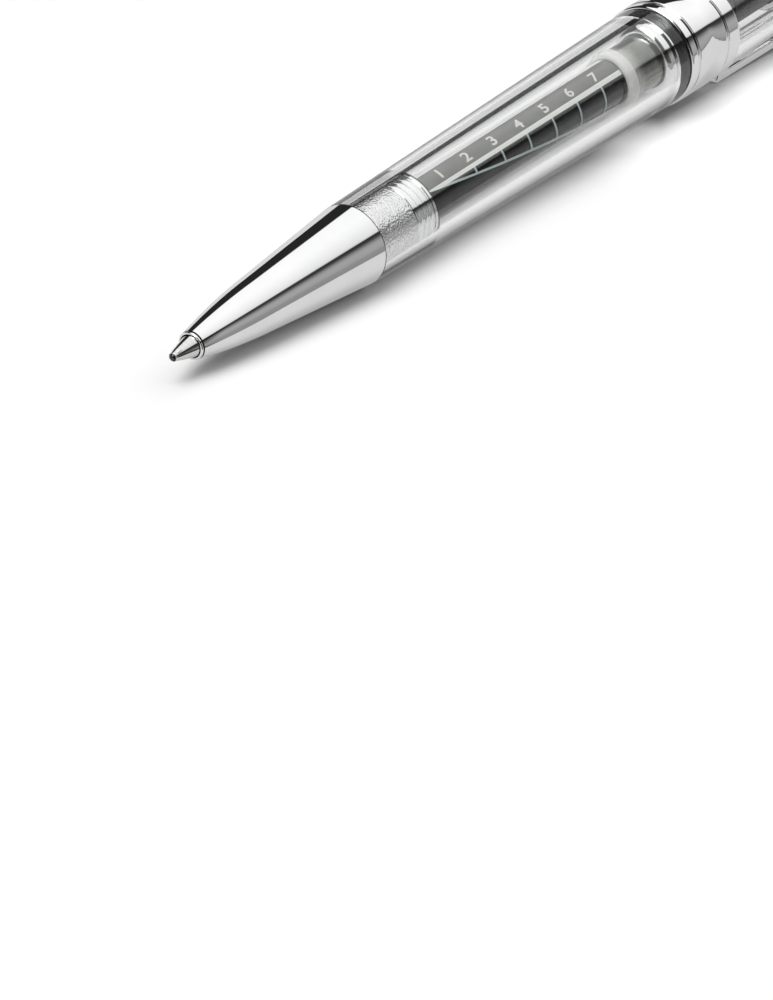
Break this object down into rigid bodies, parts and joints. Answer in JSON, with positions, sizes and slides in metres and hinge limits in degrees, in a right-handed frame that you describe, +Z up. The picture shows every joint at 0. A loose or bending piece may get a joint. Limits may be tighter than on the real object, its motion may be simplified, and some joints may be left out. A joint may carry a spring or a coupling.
{
  "type": "twist-action ballpoint pen",
  "caption": "Refillable twist-action ballpoint pen with a chrome nose, clear barrel over a refill with an ink gauge, chrome centre band, clear upper barrel, clip and finial.",
  "frame": {"origin": "on the surface that the pen lies on, under the middle of the pen", "axes": "+X along the pen from the writing point to the finial, +Z up; the pen's axis rises towards +X by 2.48 degrees, because it rests on its clip's foot"},
  "size_m": [0.1472, 0.0138, 0.0159],
  "materials": {
    "chrome": "polished plating on brass",
    "clear_acrylic": "clear, polished",
    "clear_tube": "clear, smooth",
    "ink": "wet black",
    "grease": "cloudy gel",
    "milky_plastic": "natural, slightly translucent",
    "black_plastic": "satin",
    "nickel_silver": "bright turned",
    "hard_metal": "polished, inked",
    "steel": "drawn",
    "brass": "turned",
    "printed_film": "printed in grey and white"
  },
  "bodies": {
    "barrel": {"clear_barrel": "clear_acrylic", "rear_bush": "chrome", "glide_ring": "black_plastic", "guide_sleeve": "steel"},
    "nose": {"nose_cone": "chrome"},
    "refill": {"tip_cone": "nickel_silver", "refill_nose": "brass", "refill_tube": "clear_tube", "ink_column": "ink", "ink_follower": "grease", "end_plug": "milky_plastic", "level_label": "printed_film", "plunger_cup": "milky_plastic", "plunger": "steel", "drive_pin": "steel", "return_spring": "steel"},
    "ball": {"tip_ball": "hard_metal"},
    "upper": {"centre_band": "chrome", "upper_barrel": "clear_acrylic", "cam_sleeve": "black_plastic", "end_bush": "chrome", "clip": "chrome", "finial": "chrome"}
  },
  "joints": [
    {"name": "twist", "type": "hinge", "parent": "barrel", "child": "upper", "pos_m": [0.03162, 0, 0.00818], "axis": [0.9991, 0, 0.0433], "range_deg": [0, 180]},
    {"name": "refill_slide", "type": "slide", "parent": "barrel", "child": "refill", "axis": [0.9991, 0, 0.0433], "range_m": [0, 0.0052], "deforming": ["return_spring"]},
    {"name": "ball_roll", "type": "hinge", "parent": "refill", "child": "ball", "pos_m": [-0.07307, 0, 0.00363], "axis": [0, 1, 0], "continuous": true},
    {"name": "nose_unscrew", "type": "slide", "parent": "barrel", "child": "nose", "axis": [-0.9991, 0, -0.0433], "range_m": [0, 0.014]}
  ],
  "couplings": [
    {"joint": "twist", "follows": "refill_slide", "rad_per_m": 604.09}
  ]
}
